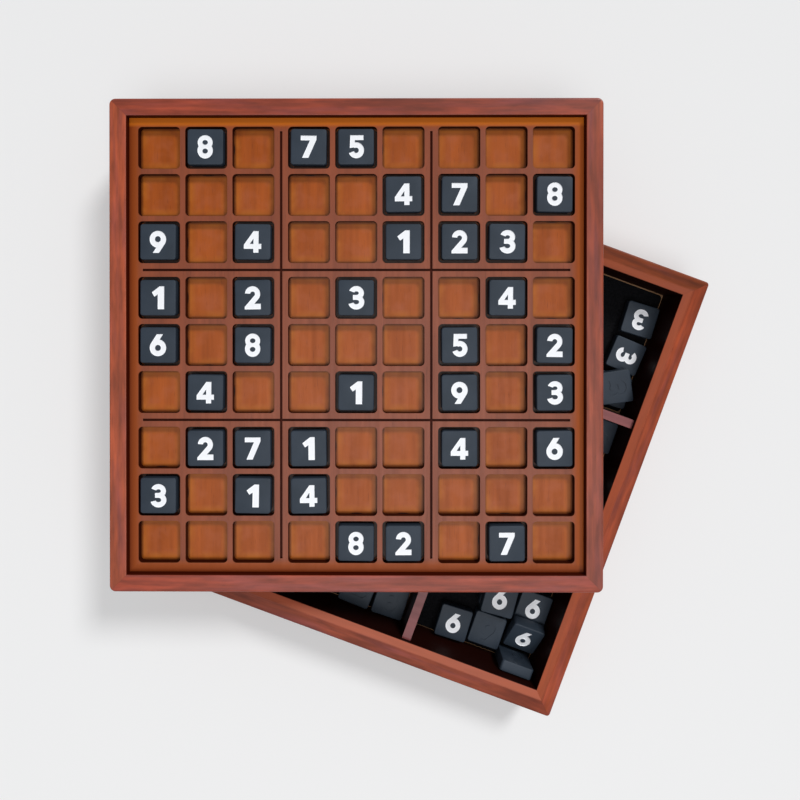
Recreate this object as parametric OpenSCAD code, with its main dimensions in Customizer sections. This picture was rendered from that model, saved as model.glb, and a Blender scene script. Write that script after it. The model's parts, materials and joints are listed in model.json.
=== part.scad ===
// Wooden sudoku board that swivels on a corner pin over its own storage box.
// The board is a mitred frame round a grid of 81 pockets, and each pocket takes one number tile.
// The box below has nine felt-lined compartments, one for the spare tiles of each number.
// Lengths are millimetres, +Z is up, and the origin is the centre of the box's underside.
// The board is drawn part-way open, as it is left to reach the spare tiles. X and Y run along
// the board's sides, and the box lies turned below it.

/* [Tiles] */
// Side of a square number tile
tile_side = 18.5; // [15:0.1:26]
// Thickness of a tile
tile_h = 6.2; // [5.5:0.1:8]
// Radius of a tile's corners, seen from above
tile_corner_r = 1.4; // [1:0.1:3]
// Radius of the rounding along a tile's edges
tile_edge_r = 0.5; // [0.3:0.1:0.9]

/* [Pocket grid] */
// Play between a tile and each wall of its pocket
tile_play = 1.7; // [0.3:0.05:2.5]
// Depth of the pockets, which is the thickness of the grid
pocket_depth = 4.3; // [3:0.1:5]
// Radius of a pocket's corners, seen from above
pocket_corner_r = 2.2; // [1:0.1:3]
// Wall between two pockets of one block
pocket_wall = 2.7; // [2:0.1:8]
// Wall between two blocks of nine pockets
block_wall = 7.1; // [5:0.1:14]
// Strip between the outer pockets and the frame
strip_w = 4.75; // [2:0.05:10]
// Width of the engraved lines between the blocks
line_w = 1.3; // [0.6:0.1:3]
// Depth of the engraved lines
line_depth = 1; // [0.4:0.1:2]
// How far a line's ends stop short of the outermost pocket walls
line_stop = 2.4; // [0:0.1:10]

/* [Board frame] */
// Width of the board's rails
frame_w = 9; // [8:0.5:14]
// Height of the board's rails
frame_h = 22.7; // [20:0.1:30]
// How far the grid's face lies below the frame's top
recess = 3.8; // [2:0.1:5.5]
// Thickness of the panel under the pockets
floor_t = 4; // [3:0.5:5]
// How far the panel's edges reach into the rails' groove
floor_seat = 3; // [1:0.5:5]
// Rounding of the frame's inner top edge
frame_inner_r = 0.6; // [0.2:0.1:1.5]
// Radius of the board's corners, seen from above
board_corner_r = 3.2; // [1.6:0.1:5]

/* [Box] */
// Width of the box's rails
box_rail_w = 11; // [10:0.5:16]
// Depth of the box from its rim down to its felt
tray_depth = 25.8; // [22:0.1:40]
// Width of the bevel along the rim's inner edge
rim_bevel_w = 3.8; // [1:0.1:5]
// How far the bevel falls across its width
rim_bevel_drop = 2; // [0.5:0.1:4]
// Radius of the box's corners, seen from above
box_corner_r = 1.8; // [1.6:0.1:4]
// Thickness of the base panel
base_t = 3; // [2:0.1:6]
// How far the base panel reaches under the rails
base_seat = 5; // [2:0.5:7]
// Thickness of the dividers
divider_t = 5; // [3:0.5:8]
// How far the dividers' tops lie below the rim
divider_drop = 4.5; // [2:0.1:8]
// Thickness of the felt pads
felt_t = 1.2; // [0.8:0.1:2]
// Gap between a felt pad and the walls round it
felt_gap = 0.8; // [0.3:0.1:2]
// Radius of a felt pad's corners
felt_corner_r = 2; // [0.5:0.5:5]

/* [Both frames] */
// Rounding of the frames' outer edges
edge_r = 1; // [0.4:0.1:1.5]
// Play round a panel in its seat
panel_play = 0.15; // [0.05:0.05:0.4]
// Play in the dividers' half laps
lap_play = 0.1; // [0.05:0.05:0.3]

/* [Swivel] */
// Angle by which the board is swung open
swing = 20.2; // [0:0.1:90]
// Gap between the box's rim and the board's underside
swivel_gap = 0.3; // [0.2:0.1:0.6]
// Side of the square block in the box's corner that holds the pin
pivot_block_w = 23; // [22:1:36]
// Diameter of the steel pin
pin_d = 6; // [4:0.5:10]
// Radial play of the pin in the box's block
pin_play = 0.05; // [0.02:0.01:0.1]
// Radial room for glue round the pin in the board's block
pin_glue = 0.02; // [0.01:0.01:0.04]
// Depth of the pin's hole in the box's block
pin_hole_depth = 18; // [12:0.5:20]
// Wood left over the pin's hole in the board's block
pin_roof = 1.4; // [1:0.1:2.5]
// Bevel on the pin's ends
pin_bevel = 0.6; // [0.3:0.1:1]
// Room at each end of the pin
pin_end_room = 0.4; // [0.2:0.1:1]
// Diameter of the nylon washer under the board
washer_d = 16; // [14:0.5:20]
// Thickness of the washer
washer_t = 1; // [0.8:0.1:2]
// Radial play round the washer and in its hole
washer_play = 0.2; // [0.1:0.05:0.4]

/* [Hidden] */
$fn = 48;
// Extra length of every cut, so that it breaks cleanly through a face
over = 0.5;
cells = 9;
block_cells = 3;

pocket = tile_side + 2 * tile_play;
grid_span = cells * pocket + (cells - block_cells) * pocket_wall + (block_cells - 1) * block_wall;
frame_opening = grid_span + 2 * strip_w;
board_side = frame_opening + 2 * frame_w;

box_h = base_t + felt_t + tray_depth;
box_inside = board_side - 2 * box_rail_w;
compartment = (box_inside - (block_cells - 1) * divider_t) / block_cells;
compartment_pitch = compartment + divider_t;
divider_h = box_h - divider_drop - base_t;
felt_top = base_t + felt_t;

board_z = box_h + swivel_gap;
cavity_h = frame_h - recess - pocket_depth - floor_t;
floor_top = cavity_h + floor_t;

pivot_inset = box_rail_w + pivot_block_w / 2;
pivot = board_side / 2 - pivot_inset;
board_block_w = 2 * (pivot_inset - frame_w);
washer_sink = washer_t - swivel_gap;

wood_red = "#8b4433";
wood_dark = "#7a3828";
wood_orange = "#9a5a31";
wood_pale = "#a0736a";
wood_light = "#b48a63";
tile_black = "#2f3a44";
felt_black = "#121214";
steel = "#b9bcc0";
nylon = "#e6e3da";

// Numbers set out on the board, row by row from the back, with a dot for each empty pocket
given_rows = [
    ".8.75....",
    ".....47.8",
    "9.4..123.",
    "1.2.3..4.",
    "6.8...5.2",
    ".4..1.9.3",
    ".271..4.6",
    "3.14.....",
    "....82.7."
];
// Each tile on the board: its row and its column, both counted from 1, and its number
given_tiles = [
    for (r = [1:cells], c = [1:cells])
        let (number = given_rows[r - 1][c - 1])
            if (number != ".") [r, c, number]
];

// Where a propped tile's underside meets its neighbour's edge, as a share of its own side
prop_share = 0.7;
// Lean of a tile with one edge on the felt and its underside on a neighbour's top edge
prop_lean = atan(tile_h / (prop_share * tile_side));
// Air left between a tile and the one that it lies on
stack_gap = 0.05;
// Gap between a tile on its edge and the wall beside it
wall_gap = 0.8;

// Place of a tile propped on the -Y side of a neighbour, and of one on its edge at the -Y wall,
// as shares of half the compartment's width
function propped_share(neighbour_share) =
    neighbour_share
    - (tile_side * (0.5 + prop_share - cos(prop_lean) / 2) + tile_h * sin(prop_lean) / 2 + wall_gap / 2)
    / (compartment / 2);
function on_edge_share() = (tile_h / 2 + wall_gap) / (compartment / 2) - 1;

// Spare tiles of each number, in the order 1 to 9. Each tile has its place across and along its
// compartment as shares of half the compartment's width, then the level that it lies on,
// its turn about Z and its lean, where 90 stands it on its edge.
spare_shares = [
    [[-0.50, 0.52, 0, 8, 0], [0.14, 0.58, 0, -6, 0], [-0.12, -0.16, 0, 24, 0], [0.58, -0.42, 0, 5, 0]],
    [[-0.60, 0.40, 0, -5, 0], [0.10, 0.62, 0, 4, 0], [0.64, -0.10, 0, 12, 0], [-0.10, -0.30, 0, -20, 0]],
    [[0.72, 0.49, 0, 3, 0], [0.71, -0.11, 0, -3, 0], [0.70, -0.68, 0, 3, 0], [0.66, -0.63, 1, 28, 0],
        [-0.34, 0.12, 0, 14, 0]],
    [[-0.42, 0.30, 0, 10, 0], [0.46, 0.10, 0, -14, 0], [-0.08, -0.56, 0, 6, 0]],
    [[-0.64, 0.62, 0, 4, 0], [0.02, 0.66, 0, -3, 0], [0.65, 0.58, 0, 6, 0], [-0.62, -0.04, 0, -5, 0],
        [0.06, -0.02, 0, 5, 0], [0.34, -0.66, 0, 7, 0], [0.30, 0.34, 1, 30, 0]],
    [[0.73, 0.72, 0, 1, 0], [0.04, 0.68, 0, -4, 0], [0.68, 0.04, 0, 5, 0], [-0.62, 0.56, 0, 6, 0],
        [-0.02, 0.02, 0, -3, 0], [-0.63, -0.10, 0, 8, 0], [0.36, -0.62, 0, 12, 0]],
    [[-0.58, 0.60, 0, 6, 0], [0.05, 0.62, 0, -4, 0], [0.67, 0.34, 0, 5, 0], [0.62, -0.36, 0, 14, 0],
        [-0.02, 0.00, 0, -6, 0]],
    [[0.72, -0.72, 0, 2, 0], [0.18, -0.72, 0, -2, 0], [-0.56, -0.50, 0, 9, 0], [0.50, 0.06, 0, -12, 0],
        [-0.20, 0.48, 0, 5, 0]],
    [[-0.37, -0.70, 0, 3, 0], [0.16, -0.62, 0, 1, 0], [0.13, -0.02, 0, 2, 0], [0.13, -0.04, 1, 5, 0],
        [0.72, -0.06, 0, 1, 0], [0.71, propped_share(-0.06), 0, 0, prop_lean],
        [0.68, on_edge_share(), 0, 0, 90]]
];

// Side names in the order of quarter turns about Z, from the side that faces -Y
sides = ["front", "right", "back", "left"];

function board_rail_name(i) = str("board_rail_", sides[i]);
function box_rail_name(i) = str("box_rail_", sides[i]);
function tile_name(g) = str("tile_", g[2], "_row", g[0], "_col", g[1]);
function spare_name(n) = str("spare_tiles_", n);

// Centre of pocket i along a row, from the board's middle
function pocket_at(i) =
    pocket / 2 - grid_span / 2 + i * (pocket + pocket_wall)
    + floor(i / block_cells) * (block_wall - pocket_wall);

// Middle of the wall between block i and the next one
function line_at(i) = (pocket_at(block_cells * i + block_cells - 1) + pocket_at(block_cells * (i + 1))) / 2;

// Half the height that a tile takes up at a lean
function half_reach(lean) = (tile_side * sin(lean) + tile_h * cos(lean)) / 2;

// Flat outlines

module rounded_square(side, r) {
    square([side, side - 2 * r], center = true);
    square([side - 2 * r, side], center = true);
    for (x = [-1, 1], y = [-1, 1])
        translate([x * (side / 2 - r), y * (side / 2 - r)])
            circle(r);
}

// What a round-over takes off the corner at the outline's origin
module corner_waste(r) {
    difference() {
        translate([-over, -over])
            square(r + over);
        translate([r, r])
            circle(r);
    }
}

// A rail's section, with its outer face at x = 0 and its underside at y = 0
module board_rail_section() {
    difference() {
        square([frame_w, frame_h]);
        translate([frame_w, frame_h])
            rotate(180)
                corner_waste(frame_inner_r);
        translate([frame_w - floor_seat, cavity_h])
            square([floor_seat + over, floor_t]);
    }
}

module box_rail_section() {
    difference() {
        square([box_rail_w, box_h]);
        translate([box_rail_w, box_h])
            polygon([
                [-rim_bevel_w, 0], [0, -rim_bevel_drop], [over, -rim_bevel_drop],
                [over, over], [-rim_bevel_w, over]
            ]);
        translate([box_rail_w - base_seat, -over])
            square([base_seat + over, base_t + over]);
    }
}

// Half of a block's side view, with rounded edges, out to a reach from its middle
module half_view(reach, h, r) {
    intersection() {
        translate([0, -h / 2])
            square([reach, h]);
        union() {
            square([2 * reach, h - 2 * r], center = true);
            square([2 * (reach - r), h], center = true);
            for (y = [-1, 1])
                translate([reach - r, y * (h / 2 - r)])
                    circle(r);
        }
    }
}

// Shared solids

// A square block with rounded corners and edges: two crossed bars and a turned round at each corner
module soft_block(side, h, corner_r, r) {
    core = side - 2 * corner_r;
    union() {
        for (turn = [0, 90])
            rotate(turn)
                rotate([90, 0, 0])
                    linear_extrude(core, center = true)
                        for (half = [0, 1])
                            mirror([half, 0])
                                half_view(side / 2, h, r);
        for (x = [-1, 1], y = [-1, 1])
            translate([x * core / 2, y * core / 2, 0])
                rotate_extrude()
                    half_view(corner_r, h, r);
    }
}

// One of four rails, mitred at 45 degrees, made from the section given as a child
module mitred_rail(turn, h, corner_r) {
    rotate(90 * turn)
        intersection() {
            translate([-board_side / 2, -board_side / 2, 0])
                rotate([90, 0, 90])
                    linear_extrude(board_side)
                        children();
            linear_extrude(h)
                polygon([[-board_side / 2, -board_side / 2], [board_side / 2, -board_side / 2], [0, 0]]);
            translate([0, 0, h / 2])
                soft_block(board_side, h, corner_r, edge_r);
        }
}

module tile() {
    color(tile_black)
        soft_block(tile_side, tile_h, tile_corner_r, tile_edge_r);
}

// Turns what is drawn square in the box to where the box lies under the swung board
module in_box() {
    rotate(-swing)
        children();
}

// Carries what is drawn square on the board to where the board is, swung about the pin
module on_board() {
    in_box()
        translate([-pivot, -pivot, board_z])
            rotate(swing)
                translate([pivot, pivot, 0])
                    children();
}

// The box

module box_rail(i) {
    color(wood_red)
        in_box()
            mitred_rail(i, box_h, box_corner_r)
                box_rail_section();
}

module base_panel() {
    color(wood_light)
        in_box()
            linear_extrude(base_t)
                square(box_inside + 2 * (base_seat - panel_play), center = true);
}

module felt_pad() {
    rounded_square(compartment - 2 * felt_gap, felt_corner_r);
}

module compartment_felts() {
    block_room = pivot_block_w + felt_gap;
    color(felt_black)
        in_box()
            translate([0, 0, base_t])
                linear_extrude(felt_t)
                    for (x = [-1:1], y = [-1:1])
                        difference() {
                            translate([x, y] * compartment_pitch)
                                felt_pad();
                            if (x == -1 && y == -1)
                                translate([-box_inside / 2, -box_inside / 2])
                                    square(block_room);
                        }
}

// A slat with its two half laps open at the top
module divider() {
    lap = [divider_t + 2 * lap_play, divider_t + 2 * over, divider_h / 2 + lap_play + over];
    difference() {
        translate([-box_inside / 2, -divider_t / 2, 0])
            cube([box_inside, divider_t, divider_h]);
        for (s = [-1, 1])
            translate([s * compartment_pitch / 2 - lap[0] / 2, -lap[1] / 2, divider_h / 2 - lap_play])
                cube(lap);
    }
}

module dividers() {
    color(wood_pale)
        in_box()
            translate([0, 0, base_t])
                for (s = [-1, 1]) {
                    translate([0, s * compartment_pitch / 2, 0])
                        divider();
                    translate([s * compartment_pitch / 2, 0, divider_h])
                        rotate(90)
                            rotate([180, 0, 0])
                                divider();
                }
}

module box_pivot_block() {
    color(wood_dark)
        in_box()
            translate([-pivot, -pivot, 0])
                difference() {
                    translate([-pivot_block_w / 2, -pivot_block_w / 2, base_t])
                        cube([pivot_block_w, pivot_block_w, box_h - base_t]);
                    translate([0, 0, box_h - pin_hole_depth])
                        cylinder(h = pin_hole_depth + over, d = pin_d + 2 * pin_play);
                    translate([0, 0, box_h - washer_sink])
                        cylinder(h = washer_sink + over, d = washer_d + 2 * washer_play);
                }
}

module pivot_washer() {
    color(nylon)
        in_box()
            translate([-pivot, -pivot, box_h - washer_sink])
                difference() {
                    cylinder(h = washer_t, d = washer_d);
                    translate([0, 0, -over])
                        cylinder(h = washer_t + 2 * over, d = pin_d + 2 * washer_play);
                }
}

// The board

module pivot_pin() {
    foot = box_h - pin_hole_depth + pin_end_room;
    head = board_z + cavity_h - pin_roof - pin_end_room;
    color(steel)
        in_box()
            translate([-pivot, -pivot, 0])
                rotate_extrude()
                    polygon([
                        [0, foot], [pin_d / 2 - pin_bevel, foot], [pin_d / 2, foot + pin_bevel],
                        [pin_d / 2, head - pin_bevel], [pin_d / 2 - pin_bevel, head], [0, head]
                    ]);
}

module board_rail(i) {
    color(wood_red)
        on_board()
            mitred_rail(i, frame_h, board_corner_r)
                board_rail_section();
}

module board_pivot_block() {
    color(wood_dark)
        on_board()
            translate([-pivot, -pivot, 0])
                difference() {
                    translate([-board_block_w / 2, -board_block_w / 2, 0])
                        cube([board_block_w, board_block_w, cavity_h]);
                    translate([0, 0, -over])
                        cylinder(h = cavity_h - pin_roof + over, d = pin_d + 2 * pin_glue);
                }
}

module pocket_floor() {
    color(wood_orange)
        on_board()
            translate([0, 0, cavity_h])
                linear_extrude(floor_t)
                    square(frame_opening + 2 * (floor_seat - panel_play), center = true);
}

module pocket_grid() {
    line = [grid_span - 2 * line_stop, line_w, line_depth + over];
    color(wood_red)
        on_board()
            translate([0, 0, floor_top])
                difference() {
                    linear_extrude(pocket_depth)
                        difference() {
                            square(frame_opening - 2 * panel_play, center = true);
                            for (x = [0:cells - 1], y = [0:cells - 1])
                                translate([pocket_at(x), pocket_at(y)])
                                    rounded_square(pocket, pocket_corner_r);
                        }
                    for (i = [0:block_cells - 2], turn = [0, 90])
                        rotate(turn)
                            translate([-line[0] / 2, line_at(i) - line_w / 2, pocket_depth - line_depth])
                                cube(line);
                }
}

// The tiles

module board_tile(g) {
    on_board()
        translate([pocket_at(g[1] - 1), -pocket_at(g[0] - 1), floor_top + tile_h / 2])
            tile();
}

module spare_tiles(n) {
    column = (n - 1) % block_cells - 1;
    row = 1 - floor((n - 1) / block_cells);
    in_box()
        for (s = spare_shares[n - 1])
            translate([
                column * compartment_pitch + s[0] * compartment / 2,
                row * compartment_pitch + s[1] * compartment / 2,
                felt_top + s[2] * (tile_h + stack_gap) + half_reach(s[4])
            ])
                rotate(s[3])
                    rotate([s[4], 0, 0])
                        tile();
}

for (i = [0:3]) {
    box_rail(i);
    board_rail(i);
}
base_panel();
compartment_felts();
dividers();
box_pivot_block();
pivot_washer();
pivot_pin();
board_pivot_block();
pocket_floor();
pocket_grid();
for (g = given_tiles)
    board_tile(g);
for (n = [1:cells])
    spare_tiles(n);
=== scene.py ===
# %% [markdown]
# A wooden sudoku board that swivels on a corner pin over its own storage box.
# The CAD model already has every solid at its true size, so this lesson dresses it: it gives the
# woods their stain and grain, makes the moulded tiles with their sunk numbers, lays felt in the box,
# and sets up a camera that looks straight down, as a catalogue picture of a board game does.

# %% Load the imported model
import json
import math
import random

import bpy
from mathutils import Matrix, Vector


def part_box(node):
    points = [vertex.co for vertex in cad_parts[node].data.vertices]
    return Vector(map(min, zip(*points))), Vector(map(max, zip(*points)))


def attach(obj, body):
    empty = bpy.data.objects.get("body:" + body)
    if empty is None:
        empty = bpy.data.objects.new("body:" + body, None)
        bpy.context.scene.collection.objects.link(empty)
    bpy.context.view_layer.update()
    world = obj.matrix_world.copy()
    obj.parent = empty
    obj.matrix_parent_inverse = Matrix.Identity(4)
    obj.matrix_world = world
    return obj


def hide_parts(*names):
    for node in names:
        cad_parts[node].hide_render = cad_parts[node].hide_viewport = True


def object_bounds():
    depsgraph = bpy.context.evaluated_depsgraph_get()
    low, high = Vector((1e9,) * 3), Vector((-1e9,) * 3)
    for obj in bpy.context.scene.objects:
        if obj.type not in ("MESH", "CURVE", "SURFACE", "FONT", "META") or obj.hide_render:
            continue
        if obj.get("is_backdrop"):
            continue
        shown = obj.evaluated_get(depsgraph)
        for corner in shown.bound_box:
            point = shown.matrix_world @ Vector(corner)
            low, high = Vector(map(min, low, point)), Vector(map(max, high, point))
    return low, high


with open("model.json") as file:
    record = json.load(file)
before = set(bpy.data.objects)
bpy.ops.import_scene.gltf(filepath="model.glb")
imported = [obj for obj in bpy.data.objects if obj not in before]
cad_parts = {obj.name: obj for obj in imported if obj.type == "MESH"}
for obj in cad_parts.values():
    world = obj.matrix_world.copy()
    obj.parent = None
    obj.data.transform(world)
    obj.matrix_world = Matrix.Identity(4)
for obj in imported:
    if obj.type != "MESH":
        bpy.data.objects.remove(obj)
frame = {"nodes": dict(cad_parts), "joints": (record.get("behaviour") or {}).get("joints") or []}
cad_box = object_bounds()
nodes = frame["nodes"]
MM = 0.001

# %% [markdown]
# Two flat frames make up the object: the box, and the board above it, swung about one pin. What is
# drawn on a frame is easiest to think of in that frame's own axes, with the origin at its middle. The
# board lies square to the world, so the middle of its pocket panel is the board's middle. The box is
# turned under it by the swing, which is how far the swivel joint still has to go to be shut.

# %% Axes of the board and of the box
swivel = next(j for j in frame["joints"] if j["name"] == "board_swivel")
pin = Vector((*swivel["pos_m"][:2], 0))
swing = math.radians(-swivel["range_deg"][0])
low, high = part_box("pocket_grid")
board_middle = Vector(((low.x + high.x) / 2, (low.y + high.y) / 2, 0))
board_axes = Matrix.Translation(board_middle)
box_axes = Matrix.Translation(pin) @ Matrix.Rotation(-swing, 4, "Z") @ Matrix.Translation(board_middle - pin)
middle_mm = [round(c / MM, 2) for c in board_middle]
print("board's middle", middle_mm, "mm, swung by", round(math.degrees(swing), 1), "degrees")


# %% [markdown]
# A few small helpers keep the rest short: one selects, one turns a hex colour into the linear numbers
# that a shader takes, one adds a node and links what it is given, and one does a sum on outputs. Three
# more start a material, give the shaded point, and tell how far a surface faces up.

# %% Small helpers
def only(*objects):
    """Selects these objects and nothing else, with the first one active."""
    if bpy.context.mode != "OBJECT":
        bpy.ops.object.mode_set(mode="OBJECT")
    bpy.ops.object.select_all(action="DESELECT")
    for o in objects:
        o.select_set(True)
    bpy.context.view_layer.objects.active = objects[0]


def colour(hex_code):
    parts = [int(hex_code[i:i + 2], 16) / 255 for i in (1, 3, 5)]
    return [c / 12.92 if c <= 0.04045 else ((c + 0.055) / 1.055) ** 2.4 for c in parts] + [1]


def add(tree, kind, inputs=None, **settings):
    """Adds a node. A value in inputs is a number, a colour, or another node's output to link."""
    node = tree.nodes.new(kind)
    for name, value in settings.items():
        setattr(node, name, value)
    for socket, value in (inputs or {}).items():
        if isinstance(value, bpy.types.NodeSocket):
            tree.links.new(value, node.inputs[socket])
        else:
            node.inputs[socket].default_value = value
    return node


def calc(tree, operation, *values):
    """One sum, such as MULTIPLY, on numbers or outputs."""
    return add(tree, "ShaderNodeMath", dict(enumerate(values)), operation=operation).outputs[0]


def new_material(name):
    material = bpy.data.materials.new(name)
    material.use_nodes = True
    tree = material.node_tree
    return material, tree, tree.nodes["Principled BSDF"]


def object_point(tree):
    return add(tree, "ShaderNodeTexCoord").outputs["Object"]


def facing_up(tree):
    """1 on a level top, 0 on an upright wall."""
    normal = add(tree, "ShaderNodeTexCoord").outputs["Normal"]
    return add(tree, "ShaderNodeSeparateXYZ", {"Vector": normal}).outputs["Z"]


# %% [markdown]
# The camera hangs about 39 cm above the floor and looks straight down, so it just sees the inner walls
# on all four sides of the board and a little into the box. The light comes from overhead, as in a
# product studio. A wide soft box nearly straight above lights the board, and the lacquer mirrors it as a
# soft veil. A far lamp behind on the right throws a short soft shadow to the front left, and an even sky
# lifts the rest. Lamps are set by the share of the full light that each gives on a level surface, where
# full light is pi watts a square metre and a colour renders as it is written.

# %% Camera, floor and light
PICTURE = 800
FOCAL_PX = 646.4
AIM_PX = (380.9, 305.8)
TILTS_DEG = (-0.169, 0.306, 0.008)
EYE_MM = (14.66, 21.43, 385.82)
PAPER, PAPER_SEEN = "#f2f2f2", "#ebebeb"
PAPER_LIFT = 0.22
SOFT_BOX_AT, SOFT_BOX_SIZE, SOFT_BOX_SHARE = Vector((0.12, -0.5, 2.0)), 1.6, 0.35
FAR_LAMP_AT, FAR_LAMP_DEG, FAR_LAMP_SHARE = Vector((1.34, 1.75, 2.0)), 13, 0.35
SKY, SKY_SHARE = "#f6f8fb", 0.33

eye = board_middle + Vector(EYE_MM) * MM
tilt_x, tilt_y, roll = (math.radians(a) for a in TILTS_DEG)

camera_data = bpy.data.cameras.new("view_from_above")
camera = bpy.data.objects.new("view_from_above", camera_data)
bpy.context.scene.collection.objects.link(camera)
camera_data.sensor_width = 36
camera_data.lens = FOCAL_PX / PICTURE * camera_data.sensor_width
camera_data.shift_x = (PICTURE / 2 - AIM_PX[0]) / PICTURE
camera_data.shift_y = (AIM_PX[1] - PICTURE / 2) / PICTURE
camera_data.clip_start = 0.01
camera.matrix_world = (Matrix.Translation(eye) @ Matrix.Rotation(roll, 4, "Z") @ Matrix.Rotation(tilt_y, 4, "Y")
                       @ Matrix.Rotation(tilt_x, 4, "X"))
bpy.context.scene.camera = camera
bpy.context.scene.view_settings.view_transform = "Standard"

bpy.ops.object.select_all(action="DESELECT")
bpy.ops.mesh.primitive_plane_add(size=8)
floor = bpy.context.object
floor.name = "floor"
# Pale paper, lifted towards an even grey for the camera, so that the far floor is as pale as the paper
paper, tree, shader = new_material("pale_grey_paper")
shader.inputs["Base Color"].default_value = colour(PAPER)
shader.inputs["Roughness"].default_value = 0.9
shader.inputs["Specular IOR Level"].default_value = 0.1
even = add(tree, "ShaderNodeEmission", {"Color": colour(PAPER_SEEN), "Strength": 1.0}).outputs[0]
seen = add(tree, "ShaderNodeLightPath").outputs["Is Camera Ray"]
lift = calc(tree, "MULTIPLY", seen, PAPER_LIFT)
lifted = add(tree, "ShaderNodeMixShader", {0: lift, 1: shader.outputs[0], 2: even}).outputs[0]
tree.links.new(lifted, tree.nodes["Material Output"].inputs["Surface"])
floor.data.materials.append(paper)
floor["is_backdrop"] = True


def hang(lamp_data, place):
    """Hangs a lamp at this place from the board's middle, shining at it."""
    lamp = bpy.data.objects.new(lamp_data.name, lamp_data)
    bpy.context.scene.collection.objects.link(lamp)
    aim = place.to_track_quat("Z", "Y").to_matrix().to_4x4()
    lamp.matrix_world = Matrix.Translation(board_middle + place) @ aim


soft_box = bpy.data.lights.new("soft_box_overhead", "AREA")
soft_box.shape = "DISK"
soft_box.size = SOFT_BOX_SIZE
soft_box.energy = SOFT_BOX_SHARE * math.pi * math.pi * SOFT_BOX_AT.length ** 3 / SOFT_BOX_AT.z
hang(soft_box, SOFT_BOX_AT)

far_lamp = bpy.data.lights.new("far_lamp_behind", "SUN")
far_lamp.angle = math.radians(FAR_LAMP_DEG)
far_lamp.energy = FAR_LAMP_SHARE * math.pi * FAR_LAMP_AT.length / FAR_LAMP_AT.z
hang(far_lamp, FAR_LAMP_AT)

world = bpy.data.worlds.new("light_tent")
bpy.context.scene.world = world
world.use_nodes = True
sky = world.node_tree.nodes["Background"]
sky.inputs["Color"].default_value = colour(SKY)
sky.inputs["Strength"].default_value = SKY_SHARE
# What the camera sees past the floor is as pale as the paper; the light of the sky stays as it is
tree = world.node_tree
beyond = add(tree, "ShaderNodeBackground", {"Color": colour(PAPER_SEEN), "Strength": 1.0}).outputs[0]
seen = add(tree, "ShaderNodeLightPath").outputs["Is Camera Ray"]
either = add(tree, "ShaderNodeMixShader", {0: seen, 1: sky.outputs[0], 2: beyond}).outputs[0]
tree.links.new(either, tree.nodes["World Output"].inputs["Surface"])
print("lens", round(camera_data.lens, 1), "mm; stage and light ready")

# %% [markdown]
# The frames are a light hardwood, stained red-brown and sprayed with a thin satin lacquer. What the eye
# gets from that is three sizes of pattern along the grain: a slow drift of the stain over some
# centimetres, soft streaks a few millimetres wide, and short dark pores. Each is noise, stretched along
# the grain by dividing the place by a length and a width in millimetres. Pores are really about 0.1 mm
# wide; they are drawn at 0.5 mm, since finer ones would not show.


# %% Stained hardwood
def piece_place(tree, axes, shift):
    """The shaded point in a piece's own axes, with X along its grain, slid to its own bit of plank."""
    back = Matrix.Translation((0, 0, shift)) @ axes.inverted()
    moved = {"Vector": object_point(tree), "Location": back.translation, "Rotation": back.to_euler()}
    return add(tree, "ShaderNodeMapping", moved).outputs[0]


def noise(tree, point, size, detail):
    """Noise in patches of this size, the same in all directions."""
    return add(tree, "ShaderNodeTexNoise", {"Vector": point, "Scale": 1 / size, "Detail": detail}).outputs[0]


def grain(tree, place, length, width, detail):
    """Noise in patches of this length along the grain and this width across it, in millimetres."""
    scale = Vector((1 / length, 1 / width, 1 / width)) / MM
    stretched = add(tree, "ShaderNodeMapping", {"Vector": place, "Scale": scale}).outputs[0]
    return noise(tree, stretched, 1.0, detail)


def fade(tree, value, start, end, low=0.0, high=1.0):
    """Low up to start, high from end on, and a straight ramp between."""
    ends = {"From Min": start, "From Max": end, "To Min": low, "To Max": high}
    return add(tree, "ShaderNodeMapRange", {"Value": value, **ends}).outputs[0]


def blend(tree, amount, under, over, how="MIX"):
    """Lays one colour over another by this amount. A colour is a hex code or an output."""
    paint = {socket: colour(c) if isinstance(c, str) else c for socket, c in (("A", under), ("B", over))}
    return add(tree, "ShaderNodeMix", {"Factor": amount, **paint}, data_type="RGBA", blend_type=how).outputs["Result"]


def bump(tree, height, strength, distance):
    return add(tree, "ShaderNodeBump", {"Height": height, "Strength": strength, "Distance": distance}).outputs[0]


def stained_wood(name, axes, light, dark, shift=0.0, streaks=0.12, sheen=0.45):
    """Returns the material, its tree and shader, the point in the piece's axes, and the stain's colour."""
    material, tree, shader = new_material(name)
    place = piece_place(tree, axes, shift)
    drift = grain(tree, place, 60, 8, 2.0)
    streak = grain(tree, place, 35, 2.2, 3.0)
    pores = grain(tree, place, 6, 0.5, 1.0)
    stain = blend(tree, fade(tree, drift, 0.32, 0.68), dark, light)
    stain = blend(tree, 1.0, stain, fade(tree, streak, 0.3, 0.7, 1 - streaks, 1 + streaks), "MULTIPLY")
    pore = fade(tree, pores, 0.64, 0.78, 0.0, 0.3)
    stain = blend(tree, pore, stain, "#35130a")
    relief = calc(tree, "SUBTRACT", streak, pore)
    tree.links.new(bump(tree, relief, 0.2, 0.05 * MM), shader.inputs["Normal"])
    tree.links.new(fade(tree, streak, 0.3, 0.7, 0.42, 0.34), shader.inputs["Roughness"])
    shader.inputs["Specular IOR Level"].default_value = sheen
    tree.links.new(stain, shader.inputs["Base Color"])
    return material, tree, shader, place, stain


def dress(node, material):
    nodes[node].data.materials.clear()
    nodes[node].data.materials.append(material)


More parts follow.
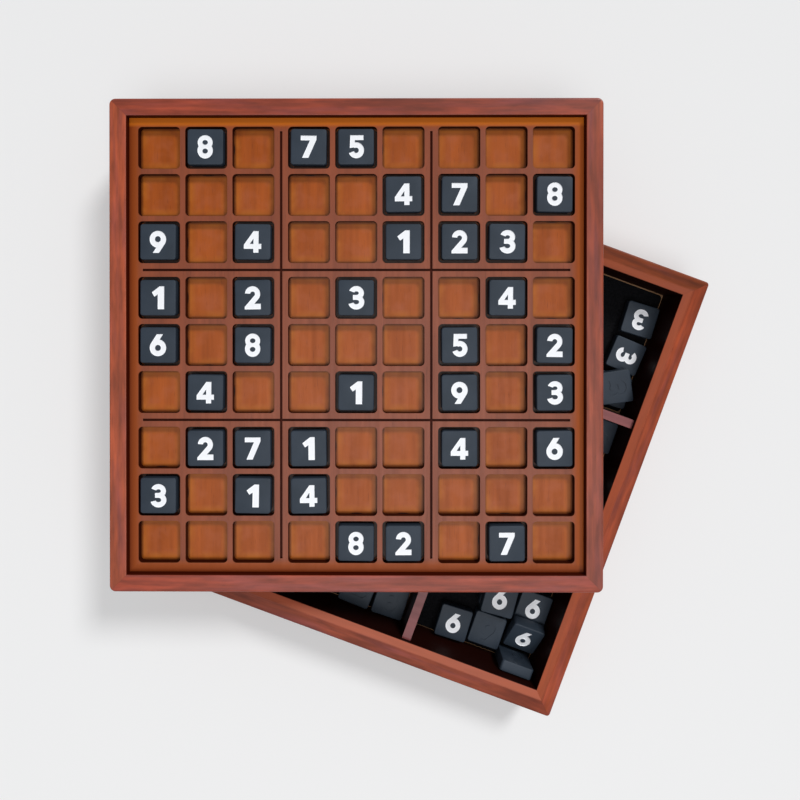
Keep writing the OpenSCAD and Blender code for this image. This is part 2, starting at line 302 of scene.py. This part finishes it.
# %% [markdown]
# Each rail is its own length of plank with its own grain, and each side is given its own pair of stain
# colours. Rails meet at mitres, where a little stain gathers in the glue line. In a rail's own axes, with X
# along it and the frame's middle as origin, a mitre is where X and Y are equally far out, so the difference
# of the two distances draws a thin dark line. Here and there the lacquer has a mauve bloom, and the stain
# took in small blotches. Inside both frames the walls are painted dark as painted shade, nearly black in the
# box, and the bevel along the box's rim gets a paler band as a painted highlight.

# %% Rails of both frames
SIDES = ("front", "right", "back", "left")
BOARD_STAINS = (("#a1442c", "#8b3823"), ("#9a462a", "#823823"), ("#9b422b", "#803623"), ("#ae5030", "#934326"))
BOX_STAINS = (("#8c4028", "#6f2e1c"), ("#9e4626", "#83371d"), ("#8a401d", "#6c2f14"), ("#8c4028", "#6f2e1c"))
BOARD_WALL_SHADE, BOX_WALL_SHADE = "#451205", "#220b07"
BOARD_SHEEN, BOX_SHEEN, WALL_SHEEN = 0.45, 0.2, 0.03
RAIL_STREAKS = 0.25
BOX_WALL, BOX_BEVEL = 116.5 * MM, 3.8 * MM


def away(tree, place):
    """How far a point is from the frame's middle, along a rail and across it."""
    xyz = add(tree, "ShaderNodeSeparateXYZ", {"Vector": place})
    return [calc(tree, "ABSOLUTE", xyz.outputs[axis]) for axis in ("X", "Y")]


def rail_wood(name, axes, turn, stains, sheen, wall, wall_shade, bevel=0.0):
    """Stained wood for one rail. The wall is given by its distance from the frame's middle."""
    own_axes = axes @ Matrix.Rotation(math.radians(90 * turn), 4, "Z")
    own_bit = 0.4 * turn + 0.1
    material, tree, shader, place, stain = stained_wood(name, own_axes, *stains, own_bit, RAIL_STREAKS, sheen)
    bloom = grain(tree, place, 45, 5, 2.0)
    stain = blend(tree, fade(tree, bloom, 0.48, 0.72, 0.0, 0.4), stain, "#7c4046")
    blotch = grain(tree, place, 14, 3, 4.0)
    stain = blend(tree, 1.0, stain, fade(tree, blotch, 0.32, 0.68, 0.8, 1.2), "MULTIPLY")
    along, across = away(tree, place)
    off_mitre = calc(tree, "ABSOLUTE", calc(tree, "SUBTRACT", along, across))
    stain = blend(tree, fade(tree, off_mitre, 0.1 * MM, 0.4 * MM, 0.15, 0.0), stain, "#3a140c")
    if bevel:
        brow = wall + bevel
        # The bevel's paler band is a painted highlight, standing in for its lacquer catching the light.
        bevel_highlight = fade(tree, across, brow - 0.4 * MM, brow + 0.4 * MM, 0.6, 0.0)
        stain = blend(tree, bevel_highlight, stain, "#bc6446")
    # The inner wall is painted dark: painted shade inside the frame.
    wall_ends = wall + 0.05 * MM, wall + 0.35 * MM
    stain = blend(tree, fade(tree, across, *wall_ends, 1.0, 0.0), stain, wall_shade)
    tree.links.new(fade(tree, across, *wall_ends, WALL_SHEEN, sheen), shader.inputs["Specular IOR Level"])
    tree.links.new(stain, shader.inputs["Base Color"])
    return material


low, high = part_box("pocket_grid")
board_wall = (high.x - low.x) / 2 + 0.15 * MM
for turn, side in enumerate(SIDES):
    board_rail = rail_wood(f"board_rail_stain_{side}", board_axes, turn, BOARD_STAINS[turn], BOARD_SHEEN,
                           board_wall, BOARD_WALL_SHADE)
    box_rail = rail_wood(f"box_rail_stain_{side}", box_axes, turn, BOX_STAINS[turn], BOX_SHEEN,
                         BOX_WALL, BOX_WALL_SHADE, BOX_BEVEL)
    dress(f"board_rail_{side}", board_rail)
    dress(f"box_rail_{side}", box_rail)
print("stained", 2 * len(SIDES), "rails; the board's opening is", round(2 * board_wall / MM, 1), "mm")

# %% [markdown]
# The pocket panel is routed from one sheet. Its face is a dusty red-brown, while the pocket walls and
# the engraved lines come out dark maroon: partly end grain that drinks the stain, partly painted shade in
# these recesses. The face's normal tells a wall from the top, and the height tells an engraved line from
# the face. Along the frame a warmer orange is painted, where the frame's walls keep the lacquer's pale
# sheen off the face. Within that strip, a paler band along the back rail is painted light against the far
# lamp's shadow there, and a darker one against the left and front rails is painted shade.

# %% Pocket panel
EDGE_STRIP = 112 * MM, 116.5 * MM
EDGE_DULL = 111 * MM, 115 * MM
PAINTED_LIGHT_BACK = 113.5 * MM, 115.5 * MM
PAINTED_SHADE_LEFT_AND_FRONT = -118.5 * MM, -114 * MM
across_board = board_axes @ Matrix.Rotation(math.pi / 2, 4, "Z")
panel_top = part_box("pocket_grid")[1].z

panel, tree, shader, place, stain = stained_wood("routed_panel_stain", across_board, "#8e472b", "#7e3e25",
                                                 streaks=0.08)
outward = calc(tree, "MAXIMUM", *away(tree, place))
# Painted: a warmer orange along the frame, where its walls keep the lacquer's pale sheen off the face.
stain = blend(tree, fade(tree, outward, *EDGE_STRIP, 0.0, 0.75), stain, "#a84f0a")
board_point = add(tree, "ShaderNodeSeparateXYZ", {"Vector": piece_place(tree, board_axes, 0.0)}).outputs
left_or_front = calc(tree, "MINIMUM", board_point["X"], board_point["Y"])
# Painted shade: darker against the left and front rails.
stain = blend(tree, fade(tree, left_or_front, *PAINTED_SHADE_LEFT_AND_FRONT, 0.85, 0.0), stain, "#5e200c")
# Painted light: paler along the back rail, against the far lamp's shadow there.
stain = blend(tree, fade(tree, board_point["Y"], *PAINTED_LIGHT_BACK, 0.0, 0.8), stain, "#cc6c14")
# Walls darkened: partly stain taken up by end grain, partly painted shade.
stain = blend(tree, fade(tree, facing_up(tree), 0.3, 0.8, 0.9, 0.0), stain, "#3a1004")
height = add(tree, "ShaderNodeSeparateXYZ", {"Vector": object_point(tree)}).outputs["Z"]
# Engraved lines darkened: partly stain taken up by end grain, partly painted shade in the grooves.
engraved = fade(tree, height, panel_top - 0.8 * MM, panel_top - 0.3 * MM, 0.95, 0.0)
stain = blend(tree, engraved, stain, "#350e05")
on_face = fade(tree, height, panel_top - 0.6 * MM, panel_top - 0.2 * MM, 0.15, 1.0)
gloss = calc(tree, "MULTIPLY", fade(tree, outward, *EDGE_DULL, 0.36, 0.14), on_face)
tree.links.new(gloss, shader.inputs["Specular IOR Level"])
tree.links.new(stain, shader.inputs["Base Color"])
dress("pocket_grid", panel)
print("panel's face at", round(panel_top / MM, 1), "mm")

# %% [markdown]
# The pockets' floor is a veneered sheet with its grain from front to back. Each pocket has a painted
# golden edge round a redder middle, where the walls keep the lacquer's pale sheen off the floor, and a
# line of painted shade in the corner under the wall. Pockets repeat every 24.6 mm, and blocks of three
# every 78.2 mm, so two remainders give the place within one pocket. Round a tile, a dark ring of painted
# shade fills the deep gap between the tile and the walls. A point is in a pocket with a tile when the
# nearest tile's middle is within about 14 mm.

# %% Pocket floor
POCKET_PITCH, BLOCK_PITCH = 24.6 * MM, 78.2 * MM
HALF_BLOCK = 35.55 * MM
HALF_POCKET = 10.95 * MM
OWN_POCKET = 14.0 * MM, 14.1 * MM
GOLDEN_EDGE = 6 * MM, 10 * MM
WALL_FOOT_SHADE = 9.4 * MM, 10.5 * MM
GAP_SHADE_RING = 8.6 * MM, 9.3 * MM


def in_pocket(tree, distance):
    """How far a point is from the middle of its pocket, along one axis of the board."""
    block = calc(tree, "FLOORED_MODULO", calc(tree, "ADD", distance, HALF_BLOCK), BLOCK_PITCH)
    cell = calc(tree, "FLOORED_MODULO", block, POCKET_PITCH)
    return calc(tree, "ABSOLUTE", calc(tree, "SUBTRACT", cell, HALF_POCKET))


veneer, tree, shader, place, stain = stained_wood("pocket_floor_veneer", across_board, "#a95218", "#95450c",
                                                  streaks=0.08, sheen=0.25)
xyz = add(tree, "ShaderNodeSeparateXYZ", {"Vector": place}).outputs
edge = calc(tree, "MAXIMUM", in_pocket(tree, xyz["X"]), in_pocket(tree, xyz["Y"]))
patch = noise(tree, place, 9 * MM, 2.0)
stain = blend(tree, fade(tree, patch, 0.45, 0.7, 0.0, 0.4), stain, "#ac5c3a")
# Painted: a brighter golden edge near the walls, where they keep the lacquer's pale sheen off the floor.
golden = calc(tree, "MULTIPLY", fade(tree, edge, *GOLDEN_EDGE), fade(tree, patch, 0.3, 0.65, 0.15, 0.8))
stain = blend(tree, golden, stain, "#b8660e")
# Painted shade: a dark line in the corner under each wall.
stain = blend(tree, fade(tree, edge, *WALL_FOOT_SHADE, 0.0, 0.7), stain, "#421706")

board_tiles = sorted(n for n in nodes if n.startswith("tile_"))
floor_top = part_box("pocket_floor")[1].z
point = object_point(tree)
nearest = 1.0
for node in board_tiles:
    low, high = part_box(node)
    middle = ((low.x + high.x) / 2, (low.y + high.y) / 2, floor_top)
    far = add(tree, "ShaderNodeVectorMath", {0: point, 1: middle}, operation="DISTANCE").outputs["Value"]
    nearest = calc(tree, "MINIMUM", far, nearest)
with_tile = fade(tree, nearest, *OWN_POCKET, 1.0, 0.0)
# Painted shade: a dark ring in the deep gap round each tile.
gap_shade = calc(tree, "MULTIPLY", with_tile, fade(tree, edge, *GAP_SHADE_RING, 0.0, 0.9))
stain = blend(tree, gap_shade, stain, "#140906")
tree.links.new(stain, shader.inputs["Base Color"])
dress("pocket_floor", veneer)
print("floor veneered, with dust round", len(board_tiles), "tiles")

# %% [markdown]
# Inside the box, the dividers have a dusty top, and their sides are painted nearly black as painted
# shade. The pads are short black felt: matt and faintly fibrous. The base is pale plywood, which shows only
# as a thin line round each pad. The pin is ground steel and the washer is natural nylon; both stay hidden
# unless the swivel is taken apart.

# %% Dividers, blocks, base, felt, washer and pin
divider_stain, tree, shader, _, stain = stained_wood("divider_stain", box_axes, "#844545", "#743b3d",
                                                     streaks=0.08)
# Painted shade: the dividers' upright sides are darkened nearly black.
sides = fade(tree, facing_up(tree), 0.3, 0.8, 1.0, 0.0)
tree.links.new(blend(tree, sides, stain, BOX_WALL_SHADE), shader.inputs["Base Color"])
dress("dividers", divider_stain)

block_stain = stained_wood("pivot_block_stain", box_axes, "#7d3f2b", "#653021")[0]
dress("box_pivot_block", block_stain)
dress("board_pivot_block", block_stain)
dress("base_panel", stained_wood("bare_plywood", box_axes, "#b9906c", "#a77f5c", sheen=0.1)[0])

felt, tree, shader = new_material("short_black_felt")
fibres = noise(tree, object_point(tree), 0.9 * MM, 3.0)
tree.links.new(blend(tree, fade(tree, fibres, 0.3, 0.7), "#060608", "#141417"), shader.inputs["Base Color"])
tree.links.new(bump(tree, fibres, 0.6, 0.3 * MM), shader.inputs["Normal"])
shader.inputs["Roughness"].default_value = 0.95
shader.inputs["Specular IOR Level"].default_value = 0.1
dress("compartment_felts", felt)

nylon, tree, shader = new_material("natural_nylon")
cloud = noise(tree, object_point(tree), 3 * MM, 2.0)
tree.links.new(blend(tree, cloud, "#ddd8cb", "#ece9e0"), shader.inputs["Base Color"])
shader.inputs["Roughness"].default_value = 0.45
dress("pivot_washer", nylon)

steel, tree, shader = new_material("ground_steel")
rings = add(tree, "ShaderNodeMapping", {"Vector": object_point(tree), "Scale": (40, 40, 1 / (0.3 * MM))}).outputs[0]
grinding = noise(tree, rings, 1.0, 2.0)
tree.links.new(fade(tree, grinding, 0.3, 0.7, 0.22, 0.38), shader.inputs["Roughness"])
shader.inputs["Base Color"].default_value = colour("#b9bcc0")
shader.inputs["Metallic"].default_value = 1.0
dress("pivot_pin", steel)
print("box dressed")

# %% [markdown]
# The numbers are bold and geometric, about 12 mm tall. Ready-made fonts do not have these straight-legged
# sixes and nines, so each number is drawn here as outlines in millimetres from its middle: straight
# corners as points and bowls as arcs. A second outline inside the first is a hole.


# %% Number outlines
def arc(cx, cy, rx, ry, start, end, steps=24):
    """Points on an ellipse from one angle to another, in degrees; start above end runs clockwise."""
    angles = [math.radians(start + (end - start) * i / steps) for i in range(steps + 1)]
    return [(cx + rx * math.cos(a), cy + ry * math.sin(a)) for a in angles]


def ring(cx, cy, rx, ry):
    return arc(cx, cy, rx, ry, 0, 345, 23)


six = [[(-0.65, 5.87), (2.75, 5.87)] + arc(0, -1.38, 4.5, 4.5, 78.5, -213, 44), ring(0, -1.45, 1.6, 1.6)]
NUMBERS = {
    1: [[(-0.1, -6.1), (3.4, -6.1), (3.4, 6.1), (0.9, 6.1), (-3.4, 2.85), (-1.9, 0.6), (-0.1, 1.8)]],
    2: [arc(0, 2.03, 4.15, 4.15, 175, -42)
        + [(0.89, -3.18), (4.4, -3.18), (4.4, -6.18), (-4.4, -6.18), (-4.4, -4.8)]
        + arc(0, 2.03, 1.3, 1.3, -42, 175, 16)],
    3: [arc(0.2, 2.5, 4.1, 3.75, 160, -33) + arc(0.15, -2.25, 4.4, 4.0, 48, -165)
        + arc(0.15, -2.25, 1.55, 1.15, -165, 90, 16) + [(-1.7, -1.1), (-1.7, 1.5)]
        + arc(0.2, 2.5, 1.3, 0.95, -90, 160, 16)],
    4: [[(0.4, -5.75), (3.25, -5.75), (3.25, -3.75), (4.75, -3.75), (4.75, -1.0), (3.25, -1.0), (3.25, 5.75),
         (0.5, 5.75), (-4.75, -1.5), (-4.75, -3.75), (0.4, -3.75)], [(0.45, 1.75), (0.45, -1.1), (-1.5, -1.1)]],
    5: [arc(0.12, -1.9, 4.25, 4.25, -160, 99.8)
        + [(-0.6, 3.5), (4.1, 3.5), (4.1, 6.1), (-3.1, 6.1), (-3.4, -0.7), (-1.3, -0.4)]
        + arc(0.12, -1.9, 1.4, 1.4, 120, -160, 16)],
    6: six,
    7: [[(-4.3, 5.9), (4.3, 5.9), (4.3, 3.9), (-0.05, -5.9), (-3.45, -5.9), (0.7, 3.35), (-4.3, 3.35)]],
    8: [arc(0, 2.35, 4.1, 3.85, -30.4, 210.4) + arc(0, -1.9, 4.2, 4.3, 147.7, 392.3)[1:-1],
        ring(0, 2.4, 1.5, 1.25), ring(0, -2.2, 1.5, 1.3)],
    9: [[(-x, -y) for x, y in outline] for outline in six],
}
print("drew", len(NUMBERS), "numbers")

# %% [markdown]
# A tile is an injection-moulded block, the same on both faces: the number is sunk into each, and only
# one of the two is filled with white paint. It starts as a cube of the tile's size. A bevel of several
# steps rounds the four upright edges, then a finer one rounds the rims of both faces. The number's
# outlines, drawn a little narrower and lower than they are listed, become a filled curve with thickness,
# and a boolean cuts that into each face. One tile of each number is made, and all the others are copies.

# %% One tile of each number
first_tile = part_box(next(n for n in nodes if n.startswith("tile_")))
TILE, TILE_H = first_tile[1].x - first_tile[0].x, first_tile[1].z - first_tile[0].z
CORNER, RIM, SINK = 1.4 * MM, 0.5 * MM, 0.3 * MM
NARROWER, LOWER = 0.95, 0.975

moulded, tree, shader = new_material("moulded_abs")
point = object_point(tree)
cloud = noise(tree, point, 14 * MM, 2.0)
tree.links.new(blend(tree, fade(tree, cloud, 0.3, 0.7), "#27313c", "#303a46"), shader.inputs["Base Color"])
spark = noise(tree, point, 0.35 * MM, 1.0)
tree.links.new(bump(tree, spark, 0.2, 0.03 * MM), shader.inputs["Normal"])
shader.inputs["Roughness"].default_value = 0.5
shader.inputs["Specular IOR Level"].default_value = 0.3

white_paint, tree, shader = new_material("white_fill_paint")
patchy = noise(tree, object_point(tree), 1.2 * MM, 2.0)
tree.links.new(blend(tree, patchy, "#f0f3f9", "#fcfdff"), shader.inputs["Base Color"])
shader.inputs["Roughness"].default_value = 0.4


def round_edges(block, chosen, width, steps):
    """Bevels the edges whose two ends pass the test."""
    ends = block.data.vertices
    for part in (ends, block.data.polygons):
        for p in part:
            p.select = False
    for edge in block.data.edges:
        edge.select = chosen(*(ends[i].co for i in edge.vertices))
    bpy.context.tool_settings.mesh_select_mode = (False, True, False)
    bpy.ops.object.mode_set(mode="EDIT")
    bpy.ops.mesh.bevel(offset=width, segments=steps, affect="EDGES")
    bpy.ops.object.mode_set(mode="OBJECT")


def blank_tile():
    bpy.ops.object.select_all(action="DESELECT")
    bpy.ops.mesh.primitive_cube_add(size=1)
    block = bpy.context.object
    block.scale = (TILE, TILE, TILE_H)
    bpy.ops.object.transform_apply(scale=True)
    round_edges(block, lambda a, b: abs(a.z - b.z) > TILE_H / 2, CORNER, 6)
    round_edges(block, lambda a, b: abs(a.z - b.z) < RIM / 2, RIM, 4)
    return block


def number_punch(number):
    drawing = bpy.data.curves.new(f"number_{number}", "CURVE")
    drawing.dimensions = "2D"
    drawing.fill_mode = "BOTH"
    drawing.extrude = SINK
    for outline in NUMBERS[number]:
        spline = drawing.splines.new("POLY")
        spline.points.add(len(outline) - 1)
        for p, (x, y) in zip(spline.points, outline):
            p.co = (NARROWER * x * MM, LOWER * y * MM, 0, 1)
        spline.use_cyclic_u = True
    punch = bpy.data.objects.new(f"number_{number}", drawing)
    bpy.context.scene.collection.objects.link(punch)
    only(punch)
    bpy.ops.object.convert(target="MESH")
    bpy.ops.object.mode_set(mode="EDIT")
    bpy.ops.mesh.select_all(action="SELECT")
    bpy.ops.mesh.remove_doubles(threshold=0.001 * MM)
    bpy.ops.mesh.normals_make_consistent(inside=False)
    bpy.ops.object.mode_set(mode="OBJECT")
    return bpy.context.object


def number_tile(number):
    tile = blank_tile()
    tile.name = f"tile_pattern_{number}"
    punch = number_punch(number)
    for flip in (0, math.pi):
        punch.matrix_world = Matrix.Rotation(flip, 4, "Y") @ Matrix.Translation((0, 0, TILE_H / 2))
        only(tile)
        cut = tile.modifiers.new("number", "BOOLEAN")
        cut.solver = "EXACT"
        cut.object = punch
        bpy.ops.object.modifier_apply(modifier=cut.name)
    bpy.data.objects.remove(punch)
    tile.data.materials.clear()
    tile.data.materials.append(moulded)
    tile.data.materials.append(white_paint)
    for face in tile.data.polygons:
        depth = TILE_H / 2 - face.center.z
        inside = max(abs(face.center.x), abs(face.center.y)) < TILE / 2 - CORNER
        face.material_index = int(inside and SINK / 4 < depth < 2 * SINK)
    only(tile)
    bpy.ops.object.shade_smooth_by_angle(angle=math.radians(30))
    return tile


patterns = {number: number_tile(number) for number in NUMBERS}
print("faces of each tile:", {n: len(t.data.polygons) for n, t in patterns.items()})

# %% [markdown]
# On the board each tile drops into its pocket with a little play, so no two lie quite square.
# A seeded die gives each a small turn, the same on every run.

# %% Tiles on the board
die = random.Random(9)
PLAY_DEG = 0.9


def set_tile(number, place, name):
    tile = patterns[number].copy()
    tile.data = patterns[number].data.copy()
    tile.name = name
    bpy.context.scene.collection.objects.link(tile)
    tile.matrix_world = place
    only(tile)
    bpy.ops.object.transform_apply(location=True, rotation=True, scale=True)
    return tile


for node in board_tiles:
    low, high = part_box(node)
    number = int(node.split("_")[1])
    turn = Matrix.Rotation(math.radians(die.uniform(-PLAY_DEG, PLAY_DEG)), 4, "Z")
    tile = set_tile(number, Matrix.Translation((low + high) / 2) @ turn, "number_" + node)
    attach(tile, node)
    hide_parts(node)
print("set", len(board_tiles), "tiles on the board")

# %% [markdown]
# The spare tiles lie about in the compartments, some with the white number up and some with the plain
# one. Each CAD group holds separate solids, so a copy is split into its loose tiles, and each tile's
# largest face and largest side give its axes. The new tile goes exactly there. Only which way round its
# number reads is chosen here, in quarter turns, from the back of the compartment to the front, with a
# minus where the plain face is up.

# %% Spare tiles in the box
WAYS = {
    1: (0, 1, -2, 3), 2: (1, 0, -3, 2), 3: (2, 0, 3, -1, -2),
    4: (0, -1, 2), 5: (0, 3, 1, 2, -1, 0, -2), 6: (-1, 0, 2, 3, 0, -1, 2),
    7: (0, 1, -3, 2, 0), 8: (0, 3, 1, -1, -2), 9: (2, 2, 2, 2, -2, 2, -2),
}
to_box = box_axes.inverted()


def tile_place(loose):
    """Where a loose CAD tile lies: its flat face up, and the side that faces most to the box's right as X."""
    faces = loose.data.polygons
    up = max(faces, key=lambda f: f.area).normal.copy()
    if up.z < -0.01:
        up.negate()
    side = max((f for f in faces if abs(f.normal.dot(up)) < 0.02), key=lambda f: f.area).normal.copy()
    right = box_axes.to_3x3() @ Vector((1, 0, 0))
    x = max((side, -side, up.cross(side), side.cross(up)), key=lambda c: c.dot(right))
    axes = Matrix((x, up.cross(x), up)).transposed()
    corners = [axes.transposed() @ v.co for v in loose.data.vertices]
    middle = Vector([(min(c[i] for c in corners) + max(c[i] for c in corners)) / 2 for i in range(3)])
    return Matrix.Translation(axes @ middle) @ axes.to_4x4()


def loose_places(node):
    copy = nodes[node].copy()
    copy.data = nodes[node].data.copy()
    copy.parent = None
    bpy.context.scene.collection.objects.link(copy)
    only(copy)
    bpy.ops.object.mode_set(mode="EDIT")
    bpy.ops.mesh.select_all(action="SELECT")
    bpy.ops.mesh.remove_doubles(threshold=0.002 * MM)
    bpy.ops.mesh.separate(type="LOOSE")
    bpy.ops.object.mode_set(mode="OBJECT")
    tiles = list(bpy.context.selected_objects)
    places = [tile_place(t) for t in tiles]
    for t in tiles:
        bpy.data.objects.remove(t)
    return sorted(places, key=lambda m: (-round((to_box @ m.translation).y, 4), (to_box @ m.translation).x))


for number, ways in WAYS.items():
    node = f"spare_tiles_{number}"
    heap = []
    for place, way in zip(loose_places(node), ways):
        turned = place @ Matrix.Rotation(math.pi / 2 * abs(way), 4, "Z")
        if way < 0:
            turned = turned @ Matrix.Rotation(math.pi, 4, "X")
        heap.append(set_tile(number, turned, f"spare_{number}"))
    only(*heap)
    bpy.ops.object.join()
    heap = bpy.context.object
    heap.name = f"spare_numbers_{number}"
    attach(heap, "box")
    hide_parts(node)
for pattern in patterns.values():
    bpy.data.objects.remove(pattern)
print("laid", sum(len(w) for w in WAYS.values()), "spare tiles")

# %% [markdown]
# Dressing should leave the size as it was, so the box round the object is noted before and after.

# %% Sizes and finish
new_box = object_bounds()
for name, corners in (("CAD box", cad_box), ("visual box", new_box)):
    print(name, [[round(x / MM, 2) for x in c] for c in corners], "mm")
